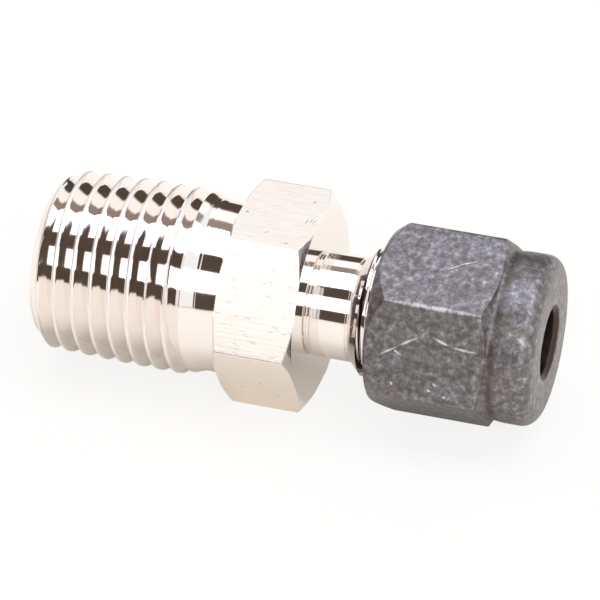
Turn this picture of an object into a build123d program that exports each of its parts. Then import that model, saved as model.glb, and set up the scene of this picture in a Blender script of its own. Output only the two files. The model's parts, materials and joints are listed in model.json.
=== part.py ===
from build123d import *
import os
from math import radians, sin, sqrt, tan

# A male connector for small tube. The turned stainless body has a tapered pipe thread, a wrench hexagon
# and a grooved neck. A ferrule grips the tube, and the compression nut drives the ferrule.
# The bore runs along X, from the pipe-thread end at the origin to the nut. The body lies on a flat.
# All sizes are in millimetres. A name ending in _d is a diameter, in _wall or _step a difference in
# radius, and in _x a distance from the pipe-thread end.

# Pipe-thread end: 1/4-18 taper pipe thread, drawn as the cone of its crests up to the plain bar
pipe_crest_d = 13.26
pipe_taper = 1 / 16
pipe_bar_step = 0.22
pipe_end_chamfer_step = 0.98
pipe_end_chamfer_deg = 45.0
pipe_thread_length = 11.30
shank_step = 0.55
shank_length = 14.50
runout_deg = 20.0
mouth_break = 0.25

# Wrench hexagon of the body, 9/16 across flats, chamfered at both ends
body_across_flats = 14.29
body_hex_length = 5.95
body_hex_face_step = 0.155
body_hex_chamfer_deg = 26.0

# Nut thread, 3/8-20, drawn as the cylinder of its crests
nut_thread_d = 9.48
nut_thread_length = 6.75
nut_thread_end_chamfer = 0.60

# Neck between hexagon and nut thread, as steps down from the thread
neck_step = 0.87
neck_root_step = 0.22
neck_root_length = 0.22
neck_edge_radius = 0.15
neck_length = 3.10
neck_groove_width = 0.20
neck_groove_depth = 0.12
flare_deg = 45.0

# Inside of the body: through bore, tube socket with its stop, conical mouth for the ferrule
tube_d = 4.76
flow_bore_d = 3.10
tube_clearance = 0.08
tube_socket_depth = 7.22
seat_half_angle_deg = 12.0
seat_mouth_clearance = 0.05

# Ferrule: a sleeve on the tube with a tapered nose and a bevelled back
ferrule_nose_wall = 0.20
ferrule_body_wall = 0.88
ferrule_back_wall = 0.53
ferrule_length = 5.95
seat_clearance = 0.03

# Compression nut, 1/2 across flats, with a round collar at the tube end
nut_across_flats = 12.70
nut_corner_radius = 0.35
nut_length = 12.30
nut_front_face_step = 0.20
nut_front_chamfer_deg = 50.0
nut_front_edge_radius = 0.30
nut_hex_length = 8.95
nut_rear_chamfer_deg = 30.0
nut_clocking_deg = 15.9
collar_step = 0.10
collar_groove_depth = 0.17
collar_groove_width = 0.22
collar_end_radius = 1.05

# Inside of the nut: thread bore, relief, ferrule shoulder and tube bore
nut_thread_clearance = 0.06
nut_mouth_chamfer = 0.35
nut_thread_depth = 5.90
nut_relief_depth = 0.12
nut_relief_length = 0.65
nut_shoulder_deg = 45.0
nut_tube_clearance = 0.19
nut_bore_chamfer = 0.355

# Radii and slopes that mating features share
socket_r = (tube_d + tube_clearance) / 2
ferrule_nose_r = socket_r + ferrule_nose_wall
ferrule_body_r = socket_r + ferrule_body_wall
ferrule_back_r = socket_r + ferrule_back_wall
seat_mouth_r = ferrule_body_r + seat_mouth_clearance
seat_slope = tan(radians(seat_half_angle_deg))
shoulder_slope = tan(radians(nut_shoulder_deg))
thread_bore_r = nut_thread_d / 2 + nut_thread_clearance
relief_r = thread_bore_r + nut_relief_depth
nut_tube_r = (tube_d + nut_tube_clearance) / 2

# Places along the axis: the body from its pipe-thread end to its seat
hex_x = shank_length
hex_end_x = hex_x + body_hex_length
neck_end_x = hex_end_x + neck_length
nut_thread_x = neck_end_x + neck_step / tan(radians(flare_deg))
body_end_x = nut_thread_x + nut_thread_length
tube_stop_x = body_end_x - tube_socket_depth
seat_root_x = body_end_x - (seat_mouth_r - socket_r) / seat_slope

# The ferrule's nose lies in the seat, and the nut's shoulder lies on the ferrule's back
nose_gap_x = seat_clearance / sin(radians(seat_half_angle_deg))
back_gap_x = seat_clearance / sin(radians(nut_shoulder_deg))
ferrule_x = seat_root_x + ferrule_nose_wall / seat_slope + nose_gap_x
ferrule_end_x = ferrule_x + ferrule_length
relief_end_x = ferrule_end_x + back_gap_x - (relief_r - ferrule_back_r) / shoulder_slope
nut_x = relief_end_x - nut_relief_length - nut_thread_depth
nut_end_x = nut_x + nut_length


def revolved(outline):
    """Turn a closed half outline, given as lines and arcs above the X axis, about X."""
    return revolve(make_face(outline), axis=Axis.X)


def turned(*points):
    """Turn a half outline of straight lines, given as (x, radius) points, about X."""
    return revolved(Polyline(*points, close=True))


def hexagon_bar(across_flats, start, length, turn_deg=0.0):
    """Bar of hexagonal stock along X, with a flat underneath when it isn't turned."""
    stock = RegularPolygon(across_flats / 2, 6, major_radius=False, rotation=turn_deg)
    return Pos(start, 0, 0) * extrude(Plane.YZ * stock, amount=length)


def corner_radius(across_flats):
    return across_flats / sqrt(3)


def pipe_end():
    """Tapered thread blank with its lead chamfer and runout, and the plain shank up to the hexagon."""
    crest_r = pipe_crest_d / 2
    face_r = crest_r - pipe_end_chamfer_step
    bar_r = crest_r + pipe_bar_step
    shank_r = bar_r - shank_step
    half_taper = pipe_taper / 2
    chamfer_slope = tan(radians(pipe_end_chamfer_deg))
    chamfer_x = pipe_end_chamfer_step / (chamfer_slope - half_taper)
    bar_x = pipe_bar_step / half_taper
    if bar_x < pipe_thread_length:
        crest_line = [(bar_x, bar_r), (pipe_thread_length, bar_r)]
    else:
        crest_line = [(pipe_thread_length, crest_r + half_taper * pipe_thread_length)]
    full_r = crest_line[-1][1]
    runout_x = pipe_thread_length + (full_r - shank_r) / tan(radians(runout_deg))
    return turned(
        (0, 0),
        (0, face_r),
        (chamfer_x, face_r + chamfer_slope * chamfer_x),
        *crest_line,
        (runout_x, shank_r),
        (hex_x, shank_r),
        (hex_x, 0),
    )


def body_hexagon():
    """Hexagon with both ends turned off at an angle, so that each flat ends in a shallow arc."""
    corner_r = corner_radius(body_across_flats)
    face_r = body_across_flats / 2 + body_hex_face_step
    drop = (corner_r - face_r) * tan(radians(body_hex_chamfer_deg))
    envelope = turned(
        (hex_x, 0),
        (hex_x, face_r),
        (hex_x + drop, corner_r),
        (hex_end_x - drop, corner_r),
        (hex_end_x, face_r),
        (hex_end_x, 0),
    )
    return hexagon_bar(body_across_flats, hex_x, body_hex_length) & envelope


def body_neck():
    """Neck with its root groove, fine ring groove and flare, then the blank of the nut thread."""
    thread_r = nut_thread_d / 2
    neck_r = thread_r - neck_step
    root_r = neck_r - neck_root_step
    ring_r = neck_r - neck_groove_depth
    tip_r = max(thread_r - nut_thread_end_chamfer, (thread_r + seat_mouth_r) / 2)
    tip_x = body_end_x - (thread_r - tip_r)
    root_end_x = hex_end_x + neck_root_length
    groove_x = neck_end_x - neck_groove_width
    outline = Polyline(
        (hex_end_x, 0),
        (hex_end_x, root_r),
        (root_end_x, root_r),
        (root_end_x, neck_r - neck_edge_radius),
    )
    outline += RadiusArc(
        (root_end_x, neck_r - neck_edge_radius),
        (root_end_x + neck_edge_radius, neck_r),
        neck_edge_radius,
    )
    outline += Polyline(
        (root_end_x + neck_edge_radius, neck_r),
        (groove_x, neck_r),
        (groove_x + neck_groove_width / 2, ring_r),
        (neck_end_x, neck_r),
        (nut_thread_x, thread_r),
        (tip_x, thread_r),
        (body_end_x, tip_r),
        (body_end_x, 0),
        (hex_end_x, 0),
    )
    return revolved(outline)


def body_bore():
    """Everything drilled out of the body: through bore, tube socket and conical ferrule seat."""
    bore_r = flow_bore_d / 2
    return turned(
        (0, 0),
        (0, bore_r + mouth_break),
        (mouth_break, bore_r),
        (tube_stop_x, bore_r),
        (tube_stop_x, socket_r),
        (seat_root_x, socket_r),
        (body_end_x, seat_mouth_r),
        (body_end_x, 0),
    )


def make_body():
    return pipe_end() + body_hexagon() + body_neck() - body_bore()


def make_ferrule():
    """Sleeve with its nose in the body's seat and its bevelled back against the nut's shoulder."""
    return turned(
        (ferrule_x, socket_r),
        (ferrule_x, ferrule_nose_r),
        (ferrule_x + (ferrule_body_r - ferrule_nose_r) / seat_slope, ferrule_body_r),
        (ferrule_end_x - (ferrule_body_r - ferrule_back_r) / shoulder_slope, ferrule_body_r),
        (ferrule_end_x, ferrule_back_r),
        (ferrule_end_x, socket_r),
    )


def make_nut():
    """Hexagon and collar in one piece, bored for the tube, the ferrule shoulder and the thread."""
    flat_r = nut_across_flats / 2
    corner_r = corner_radius(nut_across_flats)
    front_r = flat_r - nut_front_face_step
    front_drop = (corner_r - front_r) * tan(radians(nut_front_chamfer_deg))
    hex_end = nut_x + nut_hex_length
    rear_slope = tan(radians(nut_rear_chamfer_deg))
    rear_drop = (corner_r - flat_r) * rear_slope
    collar_r = flat_r - collar_step
    groove_r = collar_r - collar_groove_depth
    groove_x = hex_end + (flat_r - groove_r) * rear_slope
    round_x = nut_end_x - collar_end_radius
    end_face_r = collar_r - collar_end_radius

    envelope = turned(
        (nut_x, 0),
        (nut_x, front_r),
        (nut_x + front_drop, corner_r),
        (hex_end - rear_drop, corner_r),
        (groove_x, groove_r),
        (groove_x, 0),
    )
    front_edge = envelope.edges().filter_by(GeomType.CIRCLE).sort_by(Axis.X)[0]
    envelope = fillet(front_edge, nut_front_edge_radius)
    bar = hexagon_bar(nut_across_flats, nut_x, groove_x - nut_x, nut_clocking_deg)
    bar = fillet(bar.edges().filter_by(Axis.X), nut_corner_radius)

    collar = Polyline(
        (groove_x, 0),
        (groove_x, groove_r),
        (groove_x + collar_groove_width / 2, groove_r),
        (groove_x + collar_groove_width, collar_r),
        (round_x, collar_r),
    )
    collar += RadiusArc((round_x, collar_r), (nut_end_x, end_face_r), collar_end_radius)
    collar += Polyline((nut_end_x, end_face_r), (nut_end_x, 0), (groove_x, 0))
    return (bar & envelope) + revolved(collar) - nut_bore(front_r)


def nut_bore(front_r):
    """Inside of the nut, whose mouth chamfer leaves half of the wall of the front face."""
    mouth = min(nut_mouth_chamfer, (front_r - thread_bore_r) / 2)
    thread_end_x = nut_x + nut_thread_depth
    shoulder_end_x = relief_end_x + (relief_r - nut_tube_r) / shoulder_slope
    return turned(
        (nut_x, 0),
        (nut_x, thread_bore_r + mouth),
        (nut_x + mouth, thread_bore_r),
        (thread_end_x, thread_bore_r),
        (thread_end_x, relief_r),
        (relief_end_x, relief_r),
        (shoulder_end_x, nut_tube_r),
        (nut_end_x - nut_bore_chamfer, nut_tube_r),
        (nut_end_x, nut_tube_r + nut_bore_chamfer),
        (nut_end_x, 0),
    )


os.makedirs("parts", exist_ok=True)
export_step(make_body(), "parts/body.step")
export_step(make_ferrule(), "parts/ferrule.step")
export_step(make_nut(), "parts/compression_nut.step")
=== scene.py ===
import json
from math import atan, cos, pi, radians, sin, tan

import bmesh
import bpy
import numpy as np
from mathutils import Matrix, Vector


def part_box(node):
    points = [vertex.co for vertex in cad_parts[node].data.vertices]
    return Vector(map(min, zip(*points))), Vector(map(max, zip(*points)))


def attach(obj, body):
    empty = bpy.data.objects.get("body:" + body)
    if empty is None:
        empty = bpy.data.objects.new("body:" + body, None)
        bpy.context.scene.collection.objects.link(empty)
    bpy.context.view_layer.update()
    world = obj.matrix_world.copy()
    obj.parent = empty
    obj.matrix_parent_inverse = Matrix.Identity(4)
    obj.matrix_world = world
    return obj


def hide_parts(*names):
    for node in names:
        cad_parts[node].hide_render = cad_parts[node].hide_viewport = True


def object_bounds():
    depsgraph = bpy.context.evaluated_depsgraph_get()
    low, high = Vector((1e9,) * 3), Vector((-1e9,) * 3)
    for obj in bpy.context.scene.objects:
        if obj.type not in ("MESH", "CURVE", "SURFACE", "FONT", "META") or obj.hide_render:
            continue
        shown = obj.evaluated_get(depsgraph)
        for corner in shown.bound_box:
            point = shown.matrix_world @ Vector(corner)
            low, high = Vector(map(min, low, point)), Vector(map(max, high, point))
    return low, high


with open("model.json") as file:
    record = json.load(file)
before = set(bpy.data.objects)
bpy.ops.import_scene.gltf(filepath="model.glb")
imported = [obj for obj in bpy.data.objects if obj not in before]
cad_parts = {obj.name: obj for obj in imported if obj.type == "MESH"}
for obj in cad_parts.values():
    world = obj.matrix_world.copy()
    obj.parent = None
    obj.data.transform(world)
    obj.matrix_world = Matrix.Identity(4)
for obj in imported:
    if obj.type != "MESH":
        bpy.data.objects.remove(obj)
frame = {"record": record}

bl_info = {
    "name": "Male connector tube fitting",
    "version": (1, 0, 0),
    "blender": (4, 5, 0),
    "location": "3D View > Sidebar > Fitting",
    "description": "Threaded body, ferrule and compression nut of a tube fitting, with their finishes",
    "category": "Add Mesh",
}

# The axis of the bore is X, from the pipe-thread end. Lengths are in metres, as Blender's are, so a size
# in millimetres is multiplied by MM. Angles run round the axis from +Y towards +Z.
MM = 0.001
TURN = 2 * pi
SIXTH = TURN / 6
# Half the angle of the grooves of both threads
FLANK = radians(30)
# Rise of the pipe thread's radius along its length: 1 in 16 on the diameter
TAPER = 1 / 32

BODY_LOW, BODY_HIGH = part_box("body")
NUT_LOW, NUT_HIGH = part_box("compression_nut")
FERRULE_LOW, FERRULE_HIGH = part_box("ferrule")
WHOLE_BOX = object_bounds()
MOUNTS = {mount["name"]: mount for mount in frame["record"]["mounts"]}


def mount_span(name):
    """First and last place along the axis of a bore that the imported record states."""
    mount = MOUNTS[name]
    half = mount["dims"]["length_mm"] * MM / 2
    return mount["pos_m"][0] - half, mount["pos_m"][0] + half


def length(name, description, millimetres):
    """A size that a user can change, given here in millimetres."""
    return bpy.props.FloatProperty(
        name=name, description=description, default=millimetres * MM, unit="LENGTH", precision=5
    )


def number(name, description, value):
    """A plain number that a user can change."""
    return bpy.props.FloatProperty(name=name, description=description, default=value)


def angle(name, description, degrees):
    """An angle that a user can change, given here in degrees."""
    return bpy.props.FloatProperty(
        name=name, description=description, default=radians(degrees), subtype="ANGLE"
    )


def colour(name, description, hex_code):
    """A surface colour that a user can change, given here as an sRGB hex value."""
    return bpy.props.FloatVectorProperty(
        name=name, description=description, default=linear(hex_code), size=4, subtype="COLOR",
        min=0, max=1,
    )


def linear(hex_code):
    """Linear red, green, blue and alpha of an sRGB hex value such as #a8a19b."""
    parts = [int(hex_code[i : i + 2], 16) / 255 for i in (1, 3, 5)]
    return [p / 12.92 if p <= 0.04045 else ((p + 0.055) / 1.055) ** 2.4 for p in parts] + [1.0]


class FITTING_PG_pipe_thread(bpy.types.PropertyGroup):
    pitch: length("Pitch", "Length of one turn of the 1/4-18 taper thread", 25.4 / 18)
    first_crest: length("First crest", "Place of a crest on the +Y side", 0.0435)
    crest_r: length("Crest radius", "Radius of the crests at the end face", 6.63)
    depth: length("Depth", "From crest to root", 1.13)
    bar_r: length("Bar radius", "Radius of the turned bar, which cuts off the last crests", 6.85)
    lead_r: length("Lead radius", "Radius of the end face, where the 45 degree lead starts", 5.65)
    length: length("Length", "From the end face to where the crests start to fall away", 11.3)
    full_length: length("Full depth to", "Place where the grooves start to run out", 10.6)
    groove_end: length("Grooves end", "Place where the grooves have run out", 12.9)
    runout: angle("Runout", "Angle of the cone behind the thread", 20)
    crest_flat: length("Crest flat", "Half the width of a crest's flat", 0.09)
    scraped: length("Scraped crest", "Half the width of the dull strip on a crest", 0.12)
    soft: length("Softness", "How far crests and roots are rounded", 0.025)


class FITTING_PG_body(bpy.types.PropertyGroup):
    shank_r: length("Shank radius", "Plain part between pipe thread and hexagon", 6.30)
    hexagon_x: length("Hexagon start", "Place of the hexagon's first end face", 14.50)
    hexagon_length: length("Hexagon length", "Between the hexagon's end faces", 5.95)
    face_step: length("Face step", "How far the round end face stands out past a flat", 0.155)
    chamfer: angle("Chamfer", "Angle of the turned ends of the hexagon", 26)
    hexagon_soft: length("Corner radius", "Rounding of the hexagon's long edges", 0.08)
    neck_r: length("Neck radius", "Plain part between hexagon and nut", 3.87)
    neck_root_r: length("Root radius", "Groove at the foot of the neck", 3.65)
    neck_root_length: length("Root length", "Width of that groove", 0.22)
    neck_length: length("Neck length", "From the hexagon to the ring groove's far side", 3.10)
    ring_width: length("Ring width", "Width of the fine ring groove on the neck", 0.20)
    ring_depth: length("Ring depth", "Depth of the fine ring groove on the neck", 0.12)
    bore_r: length("Bore radius", "Through bore", 1.55)
    mouth_break: length("Mouth break", "Chamfer of the bore at the pipe-thread end", 0.25)
    seat_mouth_r: length("Seat mouth radius", "Open end of the cone that the ferrule enters", 3.35)


class FITTING_PG_nut_thread(bpy.types.PropertyGroup):
    pitch: length("Pitch", "Length of one turn of the 3/8-20 thread", 1.27)
    first_crest: length("First crest", "Place of a crest on the +Y side", 24.55)
    crest_r: length("Crest radius", "Radius of the crests on the body", 4.74)
    depth: length("Depth", "From crest to root", 0.76)
    crest_flat: length("Crest flat", "Half the width of a crest's flat", 0.079)
    fade: length("Start", "Length over which the first turn deepens", 0.6)
    end_chamfer: length("End chamfer", "Chamfer at the open end of the body", 0.60)
    clearance: length("Clearance", "Between the flanks of body and nut", 0.05)
    nut_minor_r: length("Nut minor radius", "Radius of the crests in the nut", 4.165)
    nut_major_r: length("Nut major radius", "Radius of the roots in the nut", 4.80)
    nut_depth: length("Length in the nut", "From the nut's front face to the relief", 5.90)
    soft: length("Softness", "How far crests and roots are rounded", 0.03)


class FITTING_PG_nut(bpy.types.PropertyGroup):
    flat_r: length("Half across flats", "From the axis to a flat", 6.35)
    first_corner: angle("Turn", "Angle of a corner from +Y", 15.9)
    hexagon_soft: length("Corner radius", "Rounding of the hexagon's long edges", 0.35)
    hexagon_length: length("Hexagon length", "From the front face to the collar's root", 8.95)
    front_step: length("Front step", "How far the front face stays inside a flat", 0.20)
    front_chamfer: angle("Front chamfer", "Angle of the turned front end", 50)
    front_soft: length("Front rounding", "Rounding of the front face's edge", 0.30)
    rear_chamfer: angle("Rear chamfer", "Angle of the turned rear end", 30)
    collar_r: length("Collar radius", "Round collar at the tube end", 6.25)
    groove_depth: length("Valley depth", "Rounded valley between hexagon and collar", 0.10)
    groove_width: length("Valley width", "Rounded valley between hexagon and collar", 0.70)
    groove_soft: length("Valley rounding", "Rounding of that valley", 0.32)
    end_soft: length("End rounding", "Rounding of the collar's end", 1.15)
    mouth_chamfer: length("Mouth chamfer", "Chamfer at the open end of the thread", 0.35)
    relief_r: length("Relief radius", "Groove behind the thread", 4.92)
    relief_length: length("Relief length", "Length of that groove", 0.65)
    bore_chamfer: length("Bore chamfer", "Chamfer at the tube bore's mouth", 0.355)
    bore_rim: length("Bore rim", "Bright outer part of that chamfer", 0.09)


class FITTING_PG_ferrule(bpy.types.PropertyGroup):
    bore_r: length("Bore radius", "Bore that grips the tube", 2.42)
    nose_wall: length("Nose wall", "Wall at the tapered end", 0.20)
    body_wall: length("Body wall", "Wall of the plain part", 0.88)
    back_wall: length("Back wall", "Wall at the bevelled end", 0.53)
    nose_angle: angle("Nose angle", "Taper of the nose", 12)
    back_angle: angle("Back angle", "Bevel of the back", 45)


class FITTING_PG_finish(bpy.types.PropertyGroup):
    turned: colour("Turned steel", "Bright turned stainless steel", "#f7f1ed")
    drawn: colour("Drawn steel", "Satin flats of the drawn hexagon bar", "#fbf3ec")
    # Painted shade: the darker colour of the dents' bottoms, where shade falls in the hollows
    painted_dent_shade: colour("Dented steel", "Bottoms of the small dents in the flats", "#8f827a")
    # Painted shade: steel darkened for the insides of the body's bores and for the ferrule
    bore_steel_and_shade: colour("Bored steel", "Inside of the bores", "#8d857e")
    # Painted shade: darker steel for the nut's bore and its thread
    nut_bore_shade: colour("Oiled bore", "Dark bore of the nut", "#4a4038")
    coat: colour("Coat", "Dry-film coat of the nut", "#75716f")
    coat_dark: colour("Thick coat", "Coat where it lies thick", "#5f5954")
    coat_pale: colour("Rubbed coat", "Coat where it is rubbed thin", "#918f95")
    coat_worn: colour("Worn coat", "Steel that shows through the coat", "#dcdbe2")
    # Darker brown colour in the valley between the nut's hexagon and collar
    valley_dark_brown: colour("Groove stain", "Brownish film in the groove of the nut", "#4a3a30")


class FITTING_PG_stage(bpy.types.PropertyGroup):
    azimuth: angle("Azimuth", "Camera's direction round the fitting", 17.096)
    elevation: angle("Elevation", "Camera's height above the floor", 34.586)
    distance: length("Distance", "From the camera to its target", 300.0)
    focal_pixels: number("Focal length", "Focal length in pixels of the 600 pixel frame", 4115.49)
    target: bpy.props.FloatVectorProperty(
        name="Target", description="Point in the middle of the picture", subtype="XYZ", size=3,
        unit="LENGTH", default=(18.881 * MM, 0.0, -0.077 * MM),
    )
    floor_size: length("Floor size", "Side of the floor", 4000.0)
    floor: colour("Floor", "Pale floor", "#f7f2e8")
    dark: colour("Dark", "Unlit part of the room", "#54483f")
    dim: colour("Dim", "Half-lit part of the room, above the back wall", "#9c8c84")
    back: number("Back wall", "Radiance of the lit wall behind the table", 1.15)
    overhead: number("Overhead softbox", "Radiance of the softbox overhead", 2.35)
    front: number("Front softbox", "Radiance of the softbox in front", 1.65)
    overhead_tint: colour("Overhead tint", "Colour of the softbox overhead", "#eff2ff")
    front_tint: colour("Front tint", "Colour of the softbox in front", "#ffffff")


# Steps of a mesh: in a corner's curve, in a turn of each thread, round the axis and along the nut's flats
CORNER_STEPS = 4
PIPE_THREAD_STEPS = 20
NUT_THREAD_STEPS = 14
EVEN_COLUMNS = 180
FLAT_STEPS = 50
# Places of the finishes in a piece's materials, first for the body and then for the nut
# The bore slots of body and nut hold steel darkened as painted shade
TURNED, DRAWN, SHADED_BORE, SCRAPED = range(4)
COATED, SHADED_NUT_BORE = range(2)


def round_angles(first_corner=None, half_width=0.0):
    """Angles of the columns of a turned mesh, closer together at the corners of its hexagon."""
    angles = np.linspace(0, TURN, EVEN_COLUMNS + 1)
    if first_corner is not None:
        # A corner's rounding ends one half width from its middle, and a column stands on the flat past it.
        offsets = half_width * np.array([-2.2, -1.0, -0.5, 0.0, 0.5, 1.0, 2.2])
        near = (first_corner + SIXTH * np.arange(6)[:, None] + offsets).ravel() % TURN
        digits = 7
        angles = np.unique(np.round(np.concatenate([angles, near]), digits))
        angles[-1] = TURN
    return angles


def corner_width(flat_r, soft):
    """Angle from a hexagon's corner to where its rounding meets the flat."""
    return SIXTH / 2 - atan((1 - soft / flat_r) * tan(SIXTH / 2))


def hexagon_radius(angles, flat_r, soft, first_corner=0.0):
    """Distance from the axis to a hexagonal bar's side, its long edges rounded to radius soft."""
    off = np.abs((angles - first_corner + SIXTH / 2) % SIXTH - SIXTH / 2)
    flat = flat_r / np.cos(SIXTH / 2 - off)
    centre = (flat_r - soft) / cos(SIXTH / 2)
    rounded = centre * np.cos(off) + np.sqrt(np.maximum(soft**2 - (centre * np.sin(off)) ** 2, 0))
    return np.where(off < corner_width(flat_r, soft), rounded, flat)


def corner(angles, x, r, soft=0.05 * MM, finish=0):
    """One corner of a section, at a place and radius that may differ from column to column."""
    point = np.stack([np.broadcast_to(np.asarray(v, float), angles.shape) for v in (x, r)])
    return point[None], soft, finish


def straight(start, end, steps):
    """Evenly spaced points between two corners, so that the faces there are about as long as wide."""
    shares = np.linspace(0, 1, steps + 2)[1:-1, None, None]
    return start[0] * (1 - shares) + end[0] * shares, None, start[2]


def soft_least(a, b, soft):
    """The lesser of two radii, with the corner between them rounded."""
    return (a + b - np.sqrt((a - b) ** 2 + soft**2)) / 2


def soft_most(a, b, soft):
    """The greater of two radii, with the corner between them rounded."""
    return (a + b + np.sqrt((a - b) ** 2 + soft**2)) / 2


def off_crest(x, angles, thread):
    """Distance along the axis from the nearest crest of a right-hand thread."""
    turns = (x - thread.first_crest) / thread.pitch - angles / TURN
    return np.abs((turns + 0.5) % 1 - 0.5) * thread.pitch


def thread_run(angles, thread, start, end, steps, radius_at, finish=TURNED, crest_finish=None,
               scraped=0):
    """Points along a thread, closest together on its crests and roots, with the finish of each."""
    # How far the points are drawn together there, from 0 for even steps to 1
    crowding = 0.85
    # The scraped strip reaches less far on a crest's side towards the tube, and misses the last turns.
    tube_side, bright_turns = 0.7, 2
    first = np.floor((start - thread.first_crest) / thread.pitch) - 1
    last = np.ceil((end - thread.first_crest) / thread.pitch) + 1
    even = np.arange(steps) / steps
    phases = even - crowding * np.sin(2 * TURN * even) / (2 * TURN)
    turns = (np.arange(first, last)[:, None] + phases).ravel()
    x = thread.first_crest + thread.pitch * (turns[:, None] + angles / TURN)
    x = np.clip(x, start, end)
    from_crest = ((turns + 0.5) % 1 - 0.5) * thread.pitch
    on_crest = (from_crest > -scraped) & (from_crest < tube_side * scraped)
    on_crest &= x[:, 0] < end - bright_turns * thread.pitch
    finishes = [crest_finish if dull else finish for dull in on_crest]
    return np.stack([x, radius_at(x)], axis=1), None, finishes


def backward(run):
    """A run of points in the other order, for a thread inside a bore."""
    points, soft, finish = run
    return points[::-1], soft, finish[::-1]


def leg_share(leg, soft):
    """Share of a section's leg that its corner's curve takes."""
    shortest, most = 1e-9, 0.45
    return np.minimum(soft / np.maximum(np.linalg.norm(leg, axis=0), shortest), most)


def smoothed(section):
    """Rows of a closed section, where each corner is a short curve, with the finish of each row."""
    rows, finishes = [], []
    for i, (points, soft, finish) in enumerate(section):
        if soft is None:
            rows.extend(points)
            finishes.extend(finish if isinstance(finish, list) else [finish] * len(points))
            continue
        at = points[0]
        before = section[i - 1][0][-1] - at
        after = section[(i + 1) % len(section)][0][0] - at
        start = at + before * leg_share(before, soft)
        end = at + after * leg_share(after, soft)
        for t in np.linspace(0, 1, CORNER_STEPS + 1):
            rows.append((1 - t) ** 2 * start + 2 * t * (1 - t) * at + t**2 * end)
            finishes.append(finish)
    return np.array(rows), finishes


def turned_piece(name, angles, section, materials):
    """A closed mesh from a section turned about the axis, with its edges rounded and its seams welded."""
    rows, finishes = smoothed(section)
    count, _, columns = rows.shape
    x, r = rows[:, 0], rows[:, 1]
    points = np.stack([x, r * np.cos(angles), r * np.sin(angles)], axis=-1).reshape(-1, 3)
    here = np.arange(count)[:, None] * columns + np.arange(columns - 1)
    following = np.roll(here, -1, axis=0)
    quads = np.stack([here, here + 1, following + 1, following], axis=-1).reshape(-1, 4)
    mesh = bpy.data.meshes.new(name)
    mesh.from_pydata(points.tolist(), [], quads.tolist())
    for material in materials:
        mesh.materials.append(material)
    mesh.polygons.foreach_set("material_index", np.repeat(finishes, columns - 1).astype(np.int32))
    weld(mesh)
    mesh.shade_smooth()
    sharpest = radians(40)
    mesh.set_sharp_from_angle(angle=sharpest)
    piece = bpy.data.objects.new(name, mesh)
    bpy.context.scene.collection.objects.link(piece)
    weighted = piece.modifiers.new("Weighted normals", "WEIGHTED_NORMAL")
    weighted.keep_sharp = True
    return piece


def weld(mesh):
    """Join the first and last columns, and remove what has no area."""
    touching = 2e-7
    built = bmesh.new()
    built.from_mesh(mesh)
    bmesh.ops.remove_doubles(built, verts=built.verts, dist=touching)
    bmesh.ops.dissolve_degenerate(built, edges=built.edges, dist=touching)
    built.to_mesh(mesh)
    built.free()


def add(tree, kind, inputs=(), **settings):
    """Add a node with its settings, and give its inputs values or the outputs that feed them."""
    made = tree.nodes.new(kind)
    for name, value in settings.items():
        if name == "stops":
            ramp = made.color_ramp
            while len(ramp.elements) < len(value):
                ramp.elements.new(1.0)
            for element, (place, shade) in zip(ramp.elements, value):
                element.position, element.color = place, shade
        else:
            setattr(made, name, value)
    for name, value in dict(inputs).items():
        if isinstance(value, bpy.types.NodeSocket):
            tree.links.new(value, made.inputs[name])
        else:
            made.inputs[name].default_value = value
    return made


def new_material(name):
    """An empty material, its node tree and the object coordinates that its patterns follow."""
    material = bpy.data.materials.new(name)
    material.use_nodes = True
    tree = material.node_tree
    tree.nodes.clear()
    return material, tree, add(tree, "ShaderNodeTexCoord").outputs["Object"]


def finish_material(tree, shader):
    """Give a material its surface."""
    add(tree, "ShaderNodeOutputMaterial", {"Surface": shader.outputs[0]})


def grey(value):
    """A colour without hue."""
    return (value, value, value, 1.0)


def wave_scale(spacing):
    """Scale at which the bands of a wave texture lie this far apart."""
    bands_per_turn = 20
    return TURN / (bands_per_turn * spacing)


def bright_turned_steel(finish):
    """Stainless steel, bright turned: near-mirror, with faint rings left by the tool's feed."""
    material, tree, place = new_material("bright_turned_stainless_steel")
    # A feed of 0.1 mm a turn is finer than the picture shows, so the rings are drawn 0.3 mm apart.
    ring_spacing = 0.3 * MM
    rings = add(tree, "ShaderNodeTexWave", {
        "Vector": place, "Scale": wave_scale(ring_spacing), "Distortion": 0.6, "Detail": 2.0,
        "Detail Scale": 1.5,
    }, bands_direction="X")
    # Handling leaves a film that varies over about 2 mm.
    film = add(tree, "ShaderNodeTexNoise", {"Vector": place, "Scale": 1 / (2 * MM), "Detail": 4.0})
    gloss = add(tree, "ShaderNodeMapRange", {
        "Value": film.outputs["Fac"], "From Min": 0.3, "From Max": 0.7, "To Min": 0.04, "To Max": 0.09,
    })
    bump = add(tree, "ShaderNodeBump", {
        "Height": rings.outputs["Fac"], "Strength": 0.10, "Distance": 0.01 * MM,
    })
    finish_material(tree, add(tree, "ShaderNodeBsdfPrincipled", {
        "Base Color": finish.turned, "Metallic": 1.0, "Roughness": gloss.outputs["Result"],
        "Normal": bump.outputs["Normal"],
    }))
    return material


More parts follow.
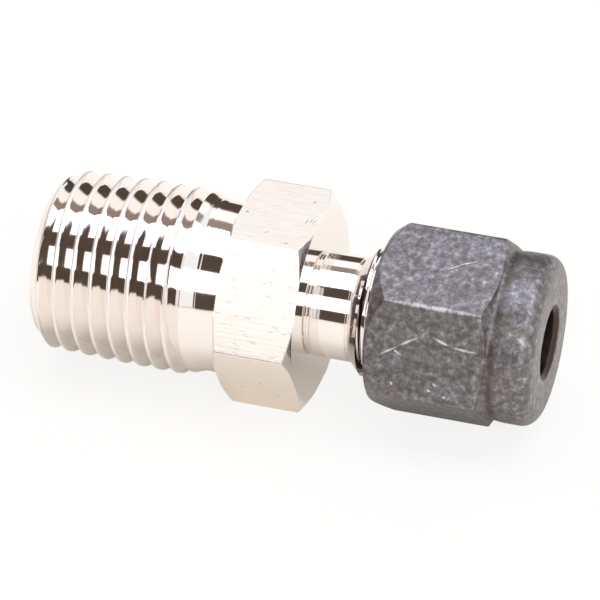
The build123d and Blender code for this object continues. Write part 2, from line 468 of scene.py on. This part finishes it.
# Scratches and nicks, each with its flat, counted from the first corner, its two ends and its width, all
# in millimetres. An end is a place along the axis and a distance across the flat.
UPPER_FLAT, FRONT_FLAT, LOWER_FLAT = 1, 2, 3
NUT_SCRATCHES = (
    (UPPER_FLAT, (30.35, 0.18), (31.60, -0.76), 0.15),
    (UPPER_FLAT, (31.10, -0.46), (32.40, -1.12), 0.17),
    (FRONT_FLAT, (26.50, 0.74), (28.05, -0.28), 0.13),
    (FRONT_FLAT, (27.90, -0.22), (29.55, -1.22), 0.14),
    (FRONT_FLAT, (27.65, 0.00), (28.36, 0.39), 0.09),
    (FRONT_FLAT, (30.35, -1.46), (31.90, -0.86), 0.13),
    (FRONT_FLAT, (31.80, -0.88), (34.00, -0.72), 0.12),
    (FRONT_FLAT, (27.68, 2.46), (27.82, 2.76), 0.14),
    (FRONT_FLAT, (30.74, 2.05), (31.06, 2.30), 0.14),
    (FRONT_FLAT, (30.40, 2.62), (30.66, 2.78), 0.13),
    (FRONT_FLAT, (31.56, 2.92), (31.78, 3.07), 0.12),
)
# The worn edge between the nut's upper and front flats, with its two places along the axis and its width
WORN_EDGE = (26.2, 34.2, 0.36)
# Small dents in the flats of the body's hexagon, pressed in and given painted shade in their bottoms
BODY_MARKS = (
    (UPPER_FLAT, (15.01, 0.53), (15.07, 0.24), 0.34),
    (UPPER_FLAT, (19.21, -2.00), (19.48, -2.35), 0.16),
    (UPPER_FLAT, (19.46, 0.80), (19.58, -0.05), 0.12),
    (UPPER_FLAT, (19.70, 0.59), (19.92, -0.16), 0.12),
    (UPPER_FLAT, (19.94, 0.65), (20.17, -0.10), 0.10),
    (UPPER_FLAT, (18.79, 3.70), (19.06, 3.35), 0.14),
    (UPPER_FLAT, (16.90, 2.67), (17.41, 2.38), 0.10),
    (LOWER_FLAT, (16.12, 0.98), (16.30, 1.24), 0.10),
    (LOWER_FLAT, (17.67, -0.17), (17.94, 0.06), 0.10),
    (LOWER_FLAT, (18.67, 1.65), (19.05, 1.67), 0.10),
)


def mark_mask(tree, place, marks, first_corner, flat_r):
    """A value that is 1 in the middle of each mark and falls to 0 at its edge."""
    most = None
    for flat, (x0, s0), (x1, s1), width in marks:
        facing = first_corner + SIXTH * (flat + 0.5)
        across = Vector((0, -sin(facing), cos(facing)))
        out = Vector((0, cos(facing), sin(facing))) * flat_r
        ends = [Vector((x * MM, 0, 0)) + across * s * MM + out for x, s in ((x0, s0), (x1, s1))]
        run = ends[1] - ends[0]
        ellipsoid = add(tree, "ShaderNodeMapping", {
            "Vector": place, "Location": (ends[0] + ends[1]) / 2,
            "Rotation": run.to_track_quat("X", "Z").to_euler(),
            "Scale": (run.length / 2, width * MM / 2, width * MM),
        }, vector_type="TEXTURE")
        mask = add(tree, "ShaderNodeTexGradient", {"Vector": ellipsoid.outputs["Vector"]},
                   gradient_type="SPHERICAL").outputs["Fac"]
        if most is not None:
            mask = add(tree, "ShaderNodeMath", {0: most, 1: mask}, operation="MAXIMUM").outputs[0]
        most = mask
    return most


def nut_scratches(tree, place, nut, clumps):
    """How far the coat is bared, most in the middle of a scratch and of the worn edge."""
    edge = nut.flat_r * tan(SIXTH / 2) / MM
    start, end, width = WORN_EDGE
    worn_edge = (UPPER_FLAT, (start, edge), (end, edge), width)
    most = mark_mask(tree, place, (*NUT_SCRATCHES, worn_edge), nut.first_corner, nut.flat_r)
    # The mottle of the coat breaks the marks up.
    broken = add(tree, "ShaderNodeMapRange", {"Value": clumps.outputs["Fac"], "From Min": 0.35,
                                              "From Max": 0.6, "To Min": 0.25, "To Max": 2.4})
    return add(tree, "ShaderNodeMath", {0: most, 1: broken.outputs["Result"]}, operation="MULTIPLY",
               use_clamp=True).outputs[0]


def drawn_bar_steel(finish, flat_r):
    """Stainless hexagon bar, cold drawn: satin, with fine lengthwise die lines, pits and small dents with
    painted shade.
    """
    material, tree, place = new_material("cold_drawn_stainless_steel")
    # Die lines run along the bar, a sixth of a millimetre apart and about 5.6 mm long.
    line_length, line_spacing = 50 / 9 * MM, MM / 6
    lines_place = add(tree, "ShaderNodeMapping", {
        "Vector": place, "Scale": (1 / line_length, 1 / line_spacing, 1 / line_spacing),
    })
    lines = add(tree, "ShaderNodeTexNoise", {"Vector": lines_place.outputs["Vector"], "Scale": 1.0,
                                             "Detail": 5.0, "Roughness": 0.6})
    # Handling leaves pits that lie about 0.7 mm apart.
    marks = add(tree, "ShaderNodeTexNoise", {"Vector": place, "Scale": 1 / (0.7 * MM), "Detail": 6.0,
                                             "Roughness": 0.62})
    pits = add(tree, "ShaderNodeValToRGB", {"Fac": marks.outputs["Fac"]},
               stops=[(0.0, grey(0.0)), (0.36, grey(0.0)), (0.44, grey(1.0)), (1.0, grey(1.0))])
    relief = add(tree, "ShaderNodeMath", {0: lines.outputs["Fac"], 1: pits.outputs["Color"]},
                 operation="ADD")
    dents = mark_mask(tree, place, BODY_MARKS, 0.0, flat_r)
    relief = add(tree, "ShaderNodeMath", {0: relief.outputs[0], 1: dents}, operation="SUBTRACT")
    # The dents' bottoms take the darker colour, painted shade
    shade = add(tree, "ShaderNodeMix", {0: dents, 6: finish.drawn, 7: finish.painted_dent_shade}, data_type="RGBA")
    bump = add(tree, "ShaderNodeBump", {"Height": relief.outputs[0], "Strength": 0.25,
                                        "Distance": 0.01 * MM})
    gloss = add(tree, "ShaderNodeMapRange", {
        "Value": lines.outputs["Fac"], "From Min": 0.3, "From Max": 0.7, "To Min": 0.18, "To Max": 0.28,
    })
    finish_material(tree, add(tree, "ShaderNodeBsdfPrincipled", {
        "Base Color": shade.outputs[2], "Metallic": 1.0, "Roughness": gloss.outputs["Result"],
        "Normal": bump.outputs["Normal"],
    }))
    return material


def scraped_steel(finish):
    """Stainless steel, scraped where other threads rub it: dull, so it takes in light from all round."""
    material, tree, place = new_material("scraped_stainless_steel")
    # Rubbing marks are about as large as the dull strip is wide, 0.25 mm.
    marks = add(tree, "ShaderNodeTexNoise", {"Vector": place, "Scale": 1 / (0.25 * MM), "Detail": 3.0})
    gloss = add(tree, "ShaderNodeMapRange", {
        "Value": marks.outputs["Fac"], "To Min": 0.40, "To Max": 0.60,
    })
    finish_material(tree, add(tree, "ShaderNodeBsdfPrincipled", {
        "Base Color": finish.turned, "Metallic": 1.0, "Roughness": gloss.outputs["Result"],
    }))
    return material


def shaded_bore_steel(colour):
    """Stainless steel, drilled and reamed: dull rings, in a colour darkened as painted shade inside the
    bores.
    """
    material, tree, place = new_material("reamed_stainless_steel_painted_shade")
    # The reamer's rings are drawn 0.25 mm apart, which is coarser than the real ones.
    ring_spacing = 0.25 * MM
    rings = add(tree, "ShaderNodeTexWave", {
        "Vector": place, "Scale": wave_scale(ring_spacing), "Distortion": 1.0, "Detail": 2.0,
    }, bands_direction="X")
    bump = add(tree, "ShaderNodeBump", {"Height": rings.outputs["Fac"], "Strength": 0.2,
                                        "Distance": 0.01 * MM})
    finish_material(tree, add(tree, "ShaderNodeBsdfPrincipled", {
        "Base Color": colour, "Metallic": 1.0, "Roughness": 0.38, "Normal": bump.outputs["Normal"],
    }))
    return material


def dry_film_coat(finish, tree, place, valley_span, nut):
    """Colour and height of the coat, with mottle, scratches, a darker brown valley, and where it is bared.
    """
    # The film clumps over about 0.5 mm, and is rubbed thin in specks of that size.
    clumps = add(tree, "ShaderNodeTexNoise", {"Vector": place, "Scale": 1 / (0.5 * MM), "Detail": 8.0,
                                              "Roughness": 0.72})
    colours = add(tree, "ShaderNodeValToRGB", {"Fac": clumps.outputs["Fac"]}, stops=[
        (0.30, list(finish.coat_dark)), (0.46, list(finish.coat)), (0.58, list(finish.coat_pale)),
        (0.80, list(finish.coat_worn)),
    ])
    along = add(tree, "ShaderNodeSeparateXYZ", {"Vector": place})
    # The coat turns darker brown in the valley and fades back a little past its sides.
    start, end = valley_span
    middle, reach = (start + end) / 2, (end - start) * 0.8
    distance = add(tree, "ShaderNodeMath", {0: along.outputs["X"], 1: middle}, operation="SUBTRACT")
    distance = add(tree, "ShaderNodeMath", {0: distance.outputs[0]}, operation="ABSOLUTE")
    darkening = add(tree, "ShaderNodeMapRange", {
        "Value": distance.outputs[0], "From Min": 0.0, "From Max": reach, "To Min": 0.55, "To Max": 0.0,
    })
    valley_darkened = add(tree, "ShaderNodeMix", {
        0: darkening.outputs["Result"], 6: colours.outputs["Color"], 7: finish.valley_dark_brown,
    }, data_type="RGBA")
    bared = nut_scratches(tree, place, nut, clumps)
    worn = add(tree, "ShaderNodeMix", {0: bared, 6: valley_darkened.outputs[2], 7: finish.coat_worn},
               data_type="RGBA")
    height = add(tree, "ShaderNodeMath", {0: clumps.outputs["Fac"], 1: bared}, operation="SUBTRACT")
    return worn.outputs[2], height.outputs[0], bared


class FITTING_OT_body(bpy.types.Operator):
    """Build the turned body with its two threads, hexagon, neck and bores"""

    bl_idname = "fitting.body"
    bl_label = "Body"

    def execute(self, context):
        scene = context.scene
        finish = scene.fitting_finish
        flat_r = -BODY_LOW.z
        soft = scene.fitting_body.hexagon_soft
        angles = round_angles(0.0, corner_width(flat_r, soft))
        section = body_section(scene, angles, flat_r)
        materials = [bright_turned_steel(finish), drawn_bar_steel(finish, flat_r),
                     shaded_bore_steel(finish.bore_steel_and_shade), scraped_steel(finish)]
        piece = turned_piece("body_turned", angles, section, materials)
        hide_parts("body")
        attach(piece, "fitting_body")
        return {"FINISHED"}


def body_section(scene, angles, flat_r):
    """Closed section of the body: out over its threads and hexagon, and back through its bores."""
    body, pipe, nut = scene.fitting_body, scene.fitting_pipe_thread, scene.fitting_nut_thread
    socket_start, socket_end = mount_span("tube_socket")
    socket_r = MOUNTS["tube_socket"]["dims"]["r_mm"] * MM
    end = BODY_HIGH.x
    runout_end = pipe.length + (pipe.bar_r - body.shank_r) / tan(pipe.runout)
    hexagon = hexagon_radius(angles, flat_r, body.hexagon_soft)
    face_r = flat_r + body.face_step
    rim = np.minimum(hexagon, face_r)
    rise = np.maximum(hexagon - face_r, 0) * tan(body.chamfer)
    hexagon_end = body.hexagon_x + body.hexagon_length
    root_end = hexagon_end + body.neck_root_length
    neck_end = hexagon_end + body.neck_length
    thread_start = neck_end + nut.crest_r - body.neck_r
    hexagon_foot_soft, neck_foot_soft, ring_soft = 0.12 * MM, 0.15 * MM, 0.03 * MM

    def pipe_radius(x):
        bar = np.minimum(pipe.bar_r, pipe.bar_r - (x - pipe.length) * tan(pipe.runout))
        bar = np.maximum(bar, body.shank_r)
        groove = (off_crest(x, angles, pipe) - pipe.crest_flat) / tan(FLANK)
        groove = soft_most(groove, 0, pipe.soft)
        groove = soft_least(groove, pipe.depth, pipe.soft)
        threaded = soft_least(bar, pipe.crest_r + x * TAPER - groove, pipe.soft)
        fade = np.clip((x - pipe.full_length) / (pipe.groove_end - pipe.full_length), 0, 1)
        fade = fade * fade * (3 - 2 * fade)
        return soft_least(threaded * (1 - fade) + bar * fade, pipe.lead_r + x, pipe.soft)

    def nut_thread_radius(x):
        groove = (off_crest(x, angles, nut) - nut.crest_flat) / tan(FLANK)
        groove = soft_least(soft_most(groove, 0, nut.soft), nut.depth, nut.soft)
        fade = np.clip((x - thread_start) / nut.fade, 0, 1)
        return soft_least(nut.crest_r - groove * fade, nut.crest_r - nut.end_chamfer + end - x, nut.soft)

    return [
        corner(angles, body.mouth_break, body.bore_r),
        corner(angles, 0, body.bore_r + body.mouth_break),
        thread_run(angles, pipe, 0.0, runout_end, PIPE_THREAD_STEPS, pipe_radius,
                   crest_finish=SCRAPED, scraped=pipe.scraped),
        corner(angles, body.hexagon_x, body.shank_r, hexagon_foot_soft),
        corner(angles, body.hexagon_x, rim),
        corner(angles, body.hexagon_x + rise, hexagon, finish=DRAWN),
        corner(angles, hexagon_end - rise, hexagon),
        corner(angles, hexagon_end, rim),
        corner(angles, hexagon_end, body.neck_root_r),
        corner(angles, root_end, body.neck_root_r),
        corner(angles, root_end, body.neck_r, neck_foot_soft),
        corner(angles, neck_end - body.ring_width, body.neck_r, ring_soft),
        corner(angles, neck_end - body.ring_width / 2, body.neck_r - body.ring_depth, ring_soft),
        corner(angles, neck_end, body.neck_r, ring_soft),
        thread_run(angles, nut, thread_start, end, NUT_THREAD_STEPS, nut_thread_radius),
        # The bores take steel darkened as painted shade
        corner(angles, end, body.seat_mouth_r, finish=SHADED_BORE),
        corner(angles, socket_end, socket_r, finish=SHADED_BORE),
        corner(angles, socket_start, socket_r, finish=SHADED_BORE),
        corner(angles, socket_start, body.bore_r, finish=SHADED_BORE),
    ]


class FITTING_OT_ferrule(bpy.types.Operator):
    """Build the ferrule, with its nose in the body's seat"""

    bl_idname = "fitting.ferrule"
    bl_label = "Ferrule"

    def execute(self, context):
        scene = context.scene
        ferrule = scene.fitting_ferrule
        angles = round_angles()
        start, end = FERRULE_LOW.x, FERRULE_HIGH.x
        inner = ferrule.bore_r
        nose, full, back = (inner + wall for wall in (ferrule.nose_wall, ferrule.body_wall,
                                                      ferrule.back_wall))
        section = [
            corner(angles, start, inner),
            corner(angles, start, nose),
            corner(angles, start + (full - nose) / tan(ferrule.nose_angle), full),
            corner(angles, end - (full - back) / tan(ferrule.back_angle), full),
            corner(angles, end, back),
            corner(angles, end, inner),
        ]
        # The ferrule, hidden in the nut, takes steel darkened as painted shade
        materials = [shaded_bore_steel(scene.fitting_finish.bore_steel_and_shade)]
        piece = turned_piece("ferrule_turned", angles, section, materials)
        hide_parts("ferrule")
        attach(piece, "ferrule_carrier")
        return {"FINISHED"}


class FITTING_OT_nut(bpy.types.Operator):
    """Build the coated compression nut with its thread, scratches and nicks"""

    bl_idname = "fitting.nut"
    bl_label = "Compression nut"

    def execute(self, context):
        scene = context.scene
        nut = scene.fitting_nut
        width = corner_width(nut.flat_r, nut.hexagon_soft)
        angles = round_angles(nut.first_corner, width)
        section, valley_span = nut_section(scene, angles)
        finish = scene.fitting_finish
        # The nut's bore takes steel darkened as painted shade
        materials = [coated_steel(finish, valley_span, nut), shaded_bore_steel(finish.nut_bore_shade)]
        piece = turned_piece("nut_turned", angles, section, materials)
        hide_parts("compression_nut")
        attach(piece, "nut")
        return {"FINISHED"}


def nut_section(scene, angles):
    """Closed section of the nut, out over its hexagon and back through its bores, and its valley."""
    nut, thread = scene.fitting_nut, scene.fitting_nut_thread
    start, end = NUT_LOW.x, NUT_HIGH.x
    shoulder_end, bore_end = mount_span("tube_bore")
    tube_r = MOUNTS["tube_bore"]["dims"]["r_mm"] * MM
    hexagon = hexagon_radius(angles, nut.flat_r, nut.hexagon_soft, nut.first_corner)
    front_r = nut.flat_r - nut.front_step
    front_rise = (hexagon - front_r) * tan(nut.front_chamfer)
    hexagon_end = start + nut.hexagon_length
    rear_rise = (hexagon - nut.flat_r) * tan(nut.rear_chamfer)
    groove_r = nut.collar_r - nut.groove_depth
    groove = hexagon_end + (nut.flat_r - groove_r) * tan(nut.rear_chamfer)
    collar = groove + nut.groove_width
    thread_end = start + thread.nut_depth
    relief_end = thread_end + nut.relief_length
    mouth_r = thread.nut_major_r + nut.mouth_chamfer
    hexagon_end_soft = 0.12 * MM

    def thread_radius(x):
        shift = thread.clearance / sin(FLANK)
        groove = (off_crest(x, angles, thread) - thread.crest_flat) / tan(FLANK)
        cut = soft_least(thread.crest_r + shift - groove, thread.nut_major_r, thread.soft)
        cut = soft_most(cut, thread.nut_minor_r, thread.soft)
        lead = np.maximum(mouth_r + start - x, nut.relief_r + x - thread_end)
        return soft_most(cut, lead, thread.soft)

    first = corner(angles, start + front_rise, hexagon)
    last = corner(angles, hexagon_end - rear_rise, hexagon, hexagon_end_soft)
    section = [
        corner(angles, start, mouth_r),
        corner(angles, start, front_r, nut.front_soft),
        first,
        straight(first, last, FLAT_STEPS),
        last,
        corner(angles, groove, groove_r, nut.groove_soft),
        corner(angles, collar, nut.collar_r, nut.groove_soft),
        end_rounding(angles, end, nut),
        corner(angles, end, tube_r + nut.bore_chamfer),
        # The bore and thread inside the rim take steel darkened as painted shade
        corner(angles, end - nut.bore_rim, tube_r + nut.bore_chamfer - nut.bore_rim, finish=SHADED_NUT_BORE),
        corner(angles, bore_end, tube_r, finish=SHADED_NUT_BORE),
        corner(angles, shoulder_end, tube_r, finish=SHADED_NUT_BORE),
        corner(angles, relief_end, nut.relief_r, finish=SHADED_NUT_BORE),
        corner(angles, thread_end, nut.relief_r, finish=SHADED_NUT_BORE),
        backward(thread_run(angles, thread, start, thread_end, NUT_THREAD_STEPS, thread_radius, SHADED_NUT_BORE)),
    ]
    return section, (hexagon_end, collar)


def end_rounding(angles, end, nut):
    """The quarter circle at the collar's end, as a run of points."""
    steps = 10
    turn = np.linspace(0, pi / 2, steps)[:, None] * np.ones_like(angles)
    x = end - nut.end_soft + nut.end_soft * np.sin(turn)
    r = nut.collar_r - nut.end_soft + nut.end_soft * np.cos(turn)
    return np.stack([x, r], axis=1), None, COATED


def coated_steel(finish, valley_span, nut):
    """Stainless steel under a dry-film lubricant coat, sprayed and scuffed: dull, mottled dark grey."""
    material, tree, place = new_material("dry_film_coated_steel")
    shade, height, bared = dry_film_coat(finish, tree, place, valley_span, nut)
    # The sprayed film has a grain of about 0.15 mm.
    grain = add(tree, "ShaderNodeTexNoise", {"Vector": place, "Scale": 1 / (0.15 * MM), "Detail": 3.0})
    bump = add(tree, "ShaderNodeBump", {"Height": grain.outputs["Fac"], "Strength": 0.5,
                                        "Distance": 0.02 * MM})
    bump = add(tree, "ShaderNodeBump", {"Height": height, "Strength": 0.6, "Distance": 0.06 * MM,
                                        "Normal": bump.outputs["Normal"]})
    gloss = add(tree, "ShaderNodeMapRange", {"Value": bared, "To Min": 0.38, "To Max": 0.30})
    finish_material(tree, add(tree, "ShaderNodeBsdfPrincipled", {
        "Base Color": shade, "Metallic": 1.0, "Roughness": gloss.outputs["Result"],
        "Normal": bump.outputs["Normal"],
    }))
    return material


class FITTING_OT_stage(bpy.types.Operator):
    """Set up the floor, the room's light and the camera"""

    bl_idname = "fitting.stage"
    bl_label = "Stage"

    def execute(self, context):
        scene = context.scene
        stage = scene.fitting_stage
        scene.view_settings.view_transform = "Standard"
        make_floor(stage)
        make_room(scene, stage)
        make_lamps(stage)
        make_camera(scene, stage)
        return {"FINISHED"}


def make_floor(stage):
    """A pale floor under the lowest flat, nearly white to the camera."""
    half = stage.floor_size / 2
    low = WHOLE_BOX[0].z
    mesh = bpy.data.meshes.new("floor")
    mesh.from_pydata([(-half, -half, low), (half, -half, low), (half, half, low), (-half, half, low)],
                     [], [(0, 1, 2, 3)])
    material, tree, _ = new_material("pale_floor")
    diffuse = add(tree, "ShaderNodeBsdfDiffuse", {"Color": stage.floor})
    white = add(tree, "ShaderNodeEmission", {"Color": grey(1.0), "Strength": 1.0})
    rays = add(tree, "ShaderNodeLightPath")
    seen = add(tree, "ShaderNodeMath", {
        0: rays.outputs["Is Camera Ray"], 1: rays.outputs["Is Glossy Ray"],
    }, operation="ADD", use_clamp=True)
    seen = add(tree, "ShaderNodeMath", {0: seen.outputs[0], 1: rays.outputs["Is Transmission Ray"]},
               operation="ADD", use_clamp=True)
    # Shares of plain white in what mirrors the floor and in the picture, where a shadow still shows
    mirrored, pictured = 0.1, 0.85
    share = add(tree, "ShaderNodeMapRange", {
        "Value": rays.outputs["Is Camera Ray"], "To Min": mirrored, "To Max": pictured,
    })
    share = add(tree, "ShaderNodeMath", {0: seen.outputs[0], 1: share.outputs["Result"]},
                operation="MULTIPLY")
    finish_material(tree, add(tree, "ShaderNodeMixShader", {
        0: share.outputs[0], 1: diffuse.outputs[0], 2: white.outputs[0],
    }))
    mesh.materials.append(material)
    floor = bpy.data.objects.new("floor", mesh)
    bpy.context.scene.collection.objects.link(floor)


def make_room(scene, stage):
    """A dark room with a white wall behind the table and another at its right end."""
    world = bpy.data.worlds.new("dark_room")
    world.use_nodes = True
    scene.world = world
    tree = world.node_tree
    tree.nodes.clear()
    direction = add(tree, "ShaderNodeTexCoord").outputs["Generated"]
    axes = add(tree, "ShaderNodeSeparateXYZ", {"Vector": direction}).outputs
    # Everything in the room runs along the fitting, so its shade depends on the angle round the X axis.
    turn = add(tree, "ShaderNodeMath", {0: axes["Z"], 1: axes["Y"]}, operation="ARCTAN2")
    share = add(tree, "ShaderNodeMath", {0: turn.outputs[0], 1: pi}, operation="DIVIDE")
    # Height over the horizon behind the table, in degrees, and the shade there
    bands = [(0, stage.dark), (26, stage.dark), (30, grey(stage.back)), (50, grey(stage.back)),
             (53, stage.dim), (65, stage.dim), (67, stage.dark)]
    shades = add(tree, "ShaderNodeValToRGB", {"Fac": share.outputs[0]},
                 stops=[(place / 180, list(shade)) for place, shade in bands])
    # The right wall starts between these two directions, as shares of the way to +X.
    first, full = 0.24, 0.32
    right = add(tree, "ShaderNodeMapRange", {"Value": axes["X"], "From Min": first, "From Max": full})
    walls = add(tree, "ShaderNodeMix", {
        0: right.outputs["Result"], 6: shades.outputs["Color"], 7: grey(1.0),
    }, data_type="RGBA")
    room = add(tree, "ShaderNodeBackground", {"Color": walls.outputs[2], "Strength": 1.0})
    white = add(tree, "ShaderNodeBackground", {"Color": grey(1.0), "Strength": 1.0})
    rays = add(tree, "ShaderNodeLightPath")
    mixed = add(tree, "ShaderNodeMixShader", {
        0: rays.outputs["Is Camera Ray"], 1: room.outputs[0], 2: white.outputs[0],
    })
    add(tree, "ShaderNodeOutputWorld", {"Surface": mixed.outputs[0]})


def make_softbox(name, low, high, radiance, tint):
    """A lamp that fills the level or upright rectangle between two opposite corners."""
    low, high = Vector(low), Vector(high)
    middle, extent = (low + high) / 2, high - low
    data = bpy.data.lights.new(name, "AREA")
    data.shape = "RECTANGLE"
    data.size, data.size_y = extent.x, extent.y or extent.z
    data.energy = radiance * pi * data.size * data.size_y
    data.color = tint[:3]
    lamp = bpy.data.objects.new(name, data)
    lamp.location = middle
    # A level lamp shines down, and an upright one towards +Y.
    lamp.rotation_euler.x = 0 if extent.y else radians(90)
    lamp.visible_camera = False
    bpy.context.scene.collection.objects.link(lamp)


def make_lamps(stage):
    """Two softboxes that run along the fitting, half a metre from it: one overhead and one in front."""
    make_softbox("overhead_softbox", (-0.37, -0.153, 0.5), (0.41, 0.212, 0.5),
                 stage.overhead, stage.overhead_tint)
    make_softbox("front_softbox", (-0.45, -0.5, 0.202), (0.8, -0.5, 0.6065),
                 stage.front, stage.front_tint)


def make_camera(scene, stage):
    """The photograph's view of the fitting."""
    data = bpy.data.cameras.new("camera")
    sensor_mm, frame_pixels = 36, 600
    data.sensor_width = sensor_mm
    data.lens = stage.focal_pixels * data.sensor_width / frame_pixels
    data.clip_start, data.clip_end = 10 * MM, 10.0
    camera = bpy.data.objects.new("camera", data)
    a, e = stage.azimuth, stage.elevation
    back = Vector((sin(a) * cos(e), -cos(a) * cos(e), sin(e)))
    camera.location = Vector(stage.target) + back * stage.distance
    camera.rotation_euler = (-back).to_track_quat("-Z", "Y").to_euler()
    scene.collection.objects.link(camera)
    scene.camera = camera


class FITTING_PT_panel(bpy.types.Panel):
    """Buttons that build the fitting, and the sizes and colours it is built with"""

    bl_idname = "FITTING_PT_panel"
    bl_label = "Tube fitting"
    bl_space_type = "VIEW_3D"
    bl_region_type = "UI"
    bl_category = "Fitting"

    def draw(self, context):
        for operator in OPERATORS:
            self.layout.operator(operator.bl_idname)
        for name in GROUPS:
            settings = getattr(context.scene, name)
            box = self.layout.box()
            for key in settings.__annotations__:
                box.prop(settings, key)


OPERATORS = (FITTING_OT_body, FITTING_OT_ferrule, FITTING_OT_nut, FITTING_OT_stage)
GROUPS = {
    "fitting_pipe_thread": FITTING_PG_pipe_thread,
    "fitting_body": FITTING_PG_body,
    "fitting_nut_thread": FITTING_PG_nut_thread,
    "fitting_nut": FITTING_PG_nut,
    "fitting_ferrule": FITTING_PG_ferrule,
    "fitting_finish": FITTING_PG_finish,
    "fitting_stage": FITTING_PG_stage,
}


def register():
    for cls in (*GROUPS.values(), *OPERATORS, FITTING_PT_panel):
        bpy.utils.register_class(cls)
    for name, group in GROUPS.items():
        setattr(bpy.types.Scene, name, bpy.props.PointerProperty(type=group))


def unregister():
    for name in GROUPS:
        delattr(bpy.types.Scene, name)
    for cls in reversed((*GROUPS.values(), *OPERATORS, FITTING_PT_panel)):
        bpy.utils.unregister_class(cls)


def main():
    register()
    bpy.ops.fitting.body()
    bpy.ops.fitting.ferrule()
    bpy.ops.fitting.nut()
    bpy.ops.fitting.stage()


if __name__ == "__main__":
    main()
